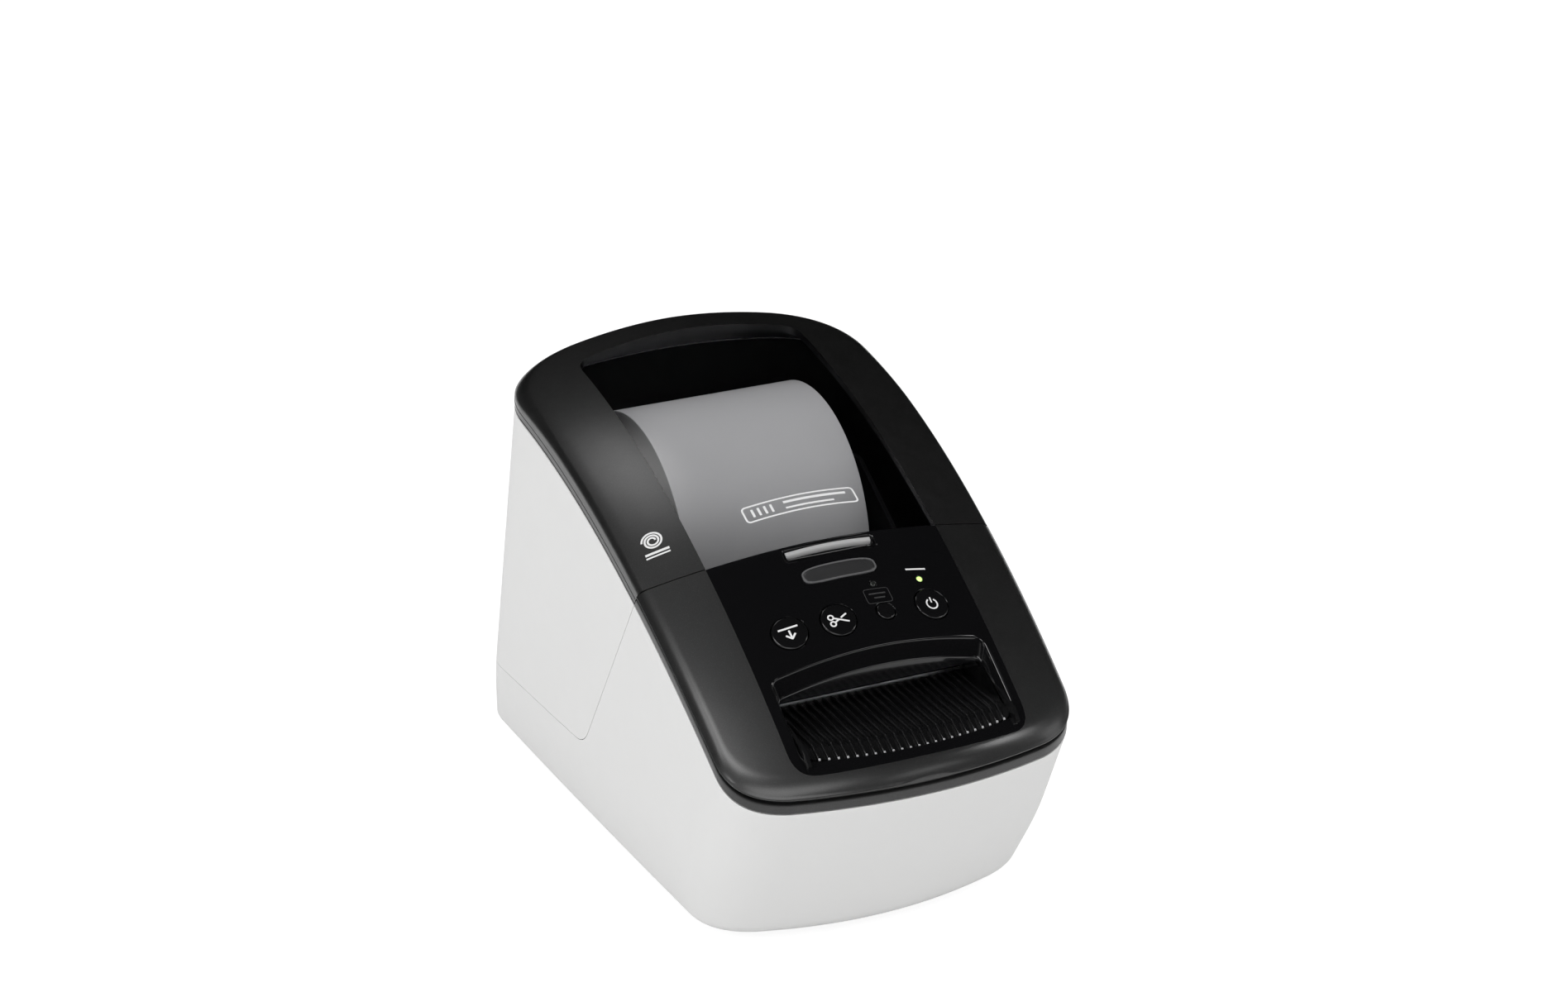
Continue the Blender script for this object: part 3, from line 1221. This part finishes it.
def on_button(name):
    placed = panel_frame(*BUTTONS[name][:2])
    return lambda x, y, height: tuple(placed @ Vector((x, y, height + BUTTON_RISE)))


def on_top(centre_x, centre_y, turn=0.0):
    cos, sin = math.cos(turn), math.sin(turn)

    def place(x, y, height):
        px, py = centre_x + x * cos - y * sin, centre_y + (x * sin + y * cos) * 0.86
        normal = top_normal(px, py)
        return (px + normal.x * height, py + normal.y * height,
                top_z(px, py) + normal.z * height)
    return place


def mark(name, body, place, *lines, look="mark_white", slot="white_shell"):
    """A printed mark. Each line is (points, width), then optionally step and closed."""
    piece(name, join(*[stroke(place, *line) for line in lines]), body, slot, smooth=40,
          look=look)


def oval(half_x, half_y, count):
    """A squarish oval."""
    points = []
    for cos, sin in circle(1, 0, 0, count):
        points.append((half_x * math.copysign(abs(cos) ** 0.45, cos),
                       half_y * math.copysign(abs(sin) ** 0.6, sin)))
    return points


mark("feed_icon", "feed_button", on_button("feed_button"),
     ([(-3.3, 1.7), (3.3, 1.7)], 0.62), ([(0, 0.8), (0, -2.0)], 0.62),
     ([(-1.6, -0.7), (0, -2.3), (1.6, -0.7)], 0.62))
mark("cut_icon", "cut_button", on_button("cut_button"),
     (circle(0.85, -2.3, 1.2, 32), 0.5, 0.3, True),
     (circle(0.85, -2.3, -1.2, 32), 0.5, 0.3, True),
     ([(-1.5, 0.8), (3.1, -1.5)], 0.55), ([(-1.5, -0.8), (0.05, -0.02)], 0.55),
     ([(0.85, 0.4), (3.1, 1.5)], 0.55))
mark("power_icon", "power_button", on_button("power_button"),
     (arc(0, -0.1, 1.85, 122, 418, 28), 0.5, 0.3), ([(0, 0.35), (0, 2.35)], 0.5))
mark("status_mark", "base", on_top(24.8, -49.6), ([(-3.5, 0), (3.5, 0)], 0.6))
mark("editor_mark", "base", on_top(7.7, -57.3),
     (rounded_rect(-4.3, 4.3, -2.7, 2.7, 0.9, 5), 0.22, 0.5, True),
     ([(-2.9, 0.85), (2.9, 0.85)], 0.5), ([(-1.6, -0.75), (2.2, -0.75)], 0.5),
     look="mark_grey", slot="grey_strip")
badge_place = on_top(-0.8, -46.9)
badge_rim = stroke(badge_place, oval(12.4, 2.9, 72), 0.55, closed=True, bottom=-0.1, top=0.42)
piece("blank_badge", plate(badge_place, oval(12.1, 2.5, 64), bottom=-0.1, top=0.3, soft=0.35),
      "base", "grey_strip", smooth=50, look="badge")
piece("badge_rim", badge_rim, "base", "grey_strip", smooth=50, look="badge_rim")
# on the cover frame: a spiral over two bars
spiral = [((1.0 + 2.5 * i / 60) * math.cos(i * 0.26), (1.0 + 2.5 * i / 60) * math.sin(i * 0.26))
          for i in range(61)]
mark("roll_mark", "cover", on_top(-51.3, -16.3, turn=-0.10), (spiral, 0.66, 0.35),
     ([(-3.6, -4.9), (4.4, -4.9)], 0.9), ([(-3.6, -6.3), (4.4, -6.3)], 0.6))
# on the window: an outlined label with plain bars
mark("label_mark", "cover", on_top(-1.8, -21.0),
     (rounded_rect(-19.5, 19.5, -2.9, 3.6, 1.2, 5), 0.62, 0.5, True),
     ([(-5.5, 1.6), (16.5, 1.6)], 1.0), ([(-5.5, -1.0), (11.5, -1.0)], 0.75),
     *[([(-16.5 + shift, -1.3), (-16.5 + shift, 2.1)], 0.8) for shift in (0, 2.2, 4.4, 6.6)])


# ------------------------------------------------------------------ label roll
def roll_ring(radius, x):
    return [(x, y, z) for y, z in circle(radius, ROLL_Y, ROLL_Z, 160)]


def unevenness(i):
    """How far ring i of a wound end lies in from the roll's edge."""
    return 0.12 * ((i * 7) % 5) / 5


radii = [CORE_R + 0.12] + [CORE_R + 1.2 + (ROLL_R - CORE_R - 1.5) * i / 14 for i in range(15)]
rings = [roll_ring(radius, -ROLL_HALF + unevenness(i)) for i, radius in enumerate(radii)]
rings += [roll_ring(ROLL_R - 0.12, -ROLL_HALF + 0.02), roll_ring(ROLL_R, -ROLL_HALF + 0.16)]
rings += [roll_ring(ROLL_R, lerp(-ROLL_HALF, ROLL_HALF, part)) for part in (0.25, 0.5, 0.75)]
rings += [roll_ring(ROLL_R, ROLL_HALF - 0.16), roll_ring(ROLL_R - 0.12, ROLL_HALF - 0.02)]
rings += [roll_ring(radius, ROLL_HALF - unevenness(i))
          for i, radius in enumerate(reversed(radii))]
roll = piece("label_roll_skin", loft(rings, closed=True), "label_roll", "label_paper",
             "label_roll", smooth=40)
second_look(roll, "roll_ends", lambda centre, normal: abs(normal.x) > 0.5)

# ------------------------------------------------------------------ pieces kept from the frame
SLOT_OF = {part["node"]: part["material_slot"] for part in frame["record"]["subparts"]}
for name, obj in frame["nodes"].items():
    if obj.hide_render:
        continue
    obj.data.materials.clear()
    obj.data.materials.append(MAT[SLOT_OF[name]])
    old_normals = obj.data.attributes.get("custom_normal")
    if old_normals is not None:
        obj.data.attributes.remove(old_normals)
    for polygon in obj.data.polygons:
        polygon.use_smooth = True
    weld = obj.modifiers.new("weld", "WELD")
    weld.merge_threshold = 2e-6
    bevel = obj.modifiers.new("bevel", "BEVEL")
    bevel.width, bevel.segments = 0.00016, 2
    bevel.limit_method, bevel.angle_limit = "ANGLE", math.radians(38)
    bevel.harden_normals, bevel.use_clamp_overlap = False, True
    weighted = obj.modifiers.new("wn", "WEIGHTED_NORMAL")
    weighted.keep_sharp, weighted.weight = False, 50

# ------------------------------------------------------------------ stage
scene = bpy.context.scene


def floor_material():
    """A pale floor that glows a little, but only as the camera sees it."""
    material, tree, surface = new_material("floor_pale")
    base = node(tree, "ShaderNodeBsdfPrincipled", {"Roughness": 0.9, "Specular IOR Level": 0.1})
    colour = mix_colour(tree, noise(tree, 2, detail=2), (0.90, 0.90, 0.90), (0.92, 0.92, 0.92))
    tree.links.new(colour, base.inputs["Base Color"])
    glow = node(tree, "ShaderNodeEmission", {"Strength": 1.25})
    camera_ray = node(tree, "ShaderNodeLightPath").outputs["Is Camera Ray"]
    share = node(tree, "ShaderNodeMath", {0: camera_ray, 1: 0.7}, operation="MULTIPLY")
    mixed = node(tree, "ShaderNodeMixShader",
                 {0: share.outputs[0], 1: base.outputs[0], 2: glow.outputs[0]})
    tree.links.new(mixed.outputs[0], surface)
    return material


floor_mesh = make_mesh([(-6, -6, 0), (6, -6, 0), (6, 6, 0), (-6, 6, 0)], [(0, 1, 2, 3)])
floor = bpy.data.objects.new("floor", floor_mesh)
scene.collection.objects.link(floor)
floor_mesh.materials.append(floor_material())

world = bpy.data.worlds.new("studio") if scene.world is None else scene.world
scene.world = world
world.use_nodes = True
tree = world.node_tree
tree.nodes.clear()
world_output = node(tree, "ShaderNodeOutputWorld")
background = node(tree, "ShaderNodeBackground", {"Color": (1, 1, 1, 1), "Strength": 0.80})
tree.links.new(background.outputs[0], world_output.inputs[0])
world.cycles_visibility.glossy = False


def fade_edges(light, soft):
    """Fades a light from its middle; soft is the share of its half width that fades."""
    light.use_nodes = True
    tree = light.node_tree
    tree.nodes.clear()
    output = node(tree, "ShaderNodeOutputLight")
    emission = node(tree, "ShaderNodeEmission")
    place = node(tree, "ShaderNodeNewGeometry").outputs["Parametric"]
    for operation, operand in (("SUBTRACT", (0.5, 0.5, 0)), ("MULTIPLY", (1, 1, 0))):
        place = node(tree, "ShaderNodeVectorMath", {0: place, 1: operand},
                     operation=operation).outputs[0]
    radius = node(tree, "ShaderNodeVectorMath", {0: place}, operation="LENGTH")
    strength = ramp(tree, radius.outputs["Value"], 0.5 * (1 - soft), 0.5, 1.0, 0.0,
                    interpolation_type="SMOOTHERSTEP")
    tree.links.new(strength, emission.inputs["Strength"])
    tree.links.new(emission.outputs[0], output.inputs[0])


def lamp(name, direction, distance, width, height, level, soft, diffuse):
    """A softbox aimed at the printer's middle; it lights surfaces or shows in gloss only."""
    light = bpy.data.lights.new(name, "AREA")
    light.shape, light.size, light.size_y = "RECTANGLE", width, height
    light.energy = level * math.pi * width * height
    if soft:
        fade_edges(light, soft)
    obj = bpy.data.objects.new(name, light)
    scene.collection.objects.link(obj)
    middle = Vector((0, 0, 0.09))
    at = middle + Vector(direction).normalized() * distance
    obj.location = at
    obj.rotation_euler = (middle - at).to_track_quat("-Z", "Y").to_euler()
    obj.visible_diffuse = obj.visible_transmission = diffuse
    obj.visible_glossy, obj.visible_volume_scatter = not diffuse, False


# name, direction, distance, width, height, level, soft, diffuse
LAMPS = [
    ("left_fill", (-0.9, -0.25, 0.35), 2.2, 1.6, 1.2, 1.7, 0, True),
    ("front_fill", (0.3, -0.72, 0.62), 2.2, 1.6, 0.9, 1.5, 0, True),
    ("front_sheen", (-0.35, -0.85, 0.62), 2.1, 2.2, 1.1, 3.0, 0.6, False),
    ("left_sheen", (-0.9, -0.1, 0.12), 2.1, 1.2, 0.5, 0.7, 0, False),
    ("right_front", (0.71, -0.40, 0.55), 2.0, 0.6, 0.5, 8.0, 0.6, False),
    ("left_top", (-0.60, -0.12, 0.80), 1.9, 0.6, 0.7, 5.0, 0.7, False),
    ("right_sheen", (0.9, -0.30, 0.25), 2.1, 0.8, 0.8, 1.5, 0.5, False),
    ("edge_strip", (0.39, -0.84, 0.38), 1.9, 1.0, 0.26, 2.5, 0.5, False),
    ("left_high", (-0.36, -0.26, 0.90), 2.0, 1.0, 0.9, 6.0, 0.6, False),
    ("left_lip", (-0.78, -0.36, 0.42), 2.0, 0.5, 0.4, 9.0, 0.5, False),
    ("glow", (0.00, 0.38, 0.92), 1.8, 0.60, 0.95, 4.1, 1.0, False),
]
for row in LAMPS:
    lamp(*row)

lens = bpy.data.cameras.new("camera")
lens.sensor_fit, lens.sensor_width, lens.lens = "HORIZONTAL", 36.0, 77.90
lens.shift_x, lens.shift_y = 0.0, 0.0892
lens.clip_start, lens.clip_end = 0.05, 60
camera = bpy.data.objects.new("camera", lens)
scene.collection.objects.link(camera)
# columns: right, up, backward, place
camera.matrix_world = Matrix((
    (0.902754, 0.185463, -0.388123, -0.43387),
    (-0.430158, 0.389375, -0.814464, -0.91553),
    (0.00007, 0.902214, 0.431288, 0.55351),
    (0, 0, 0, 1)))
scene.camera = camera
scene.view_settings.view_transform = "Standard"
scene.view_settings.look = "None"

bpy.context.view_layer.update()
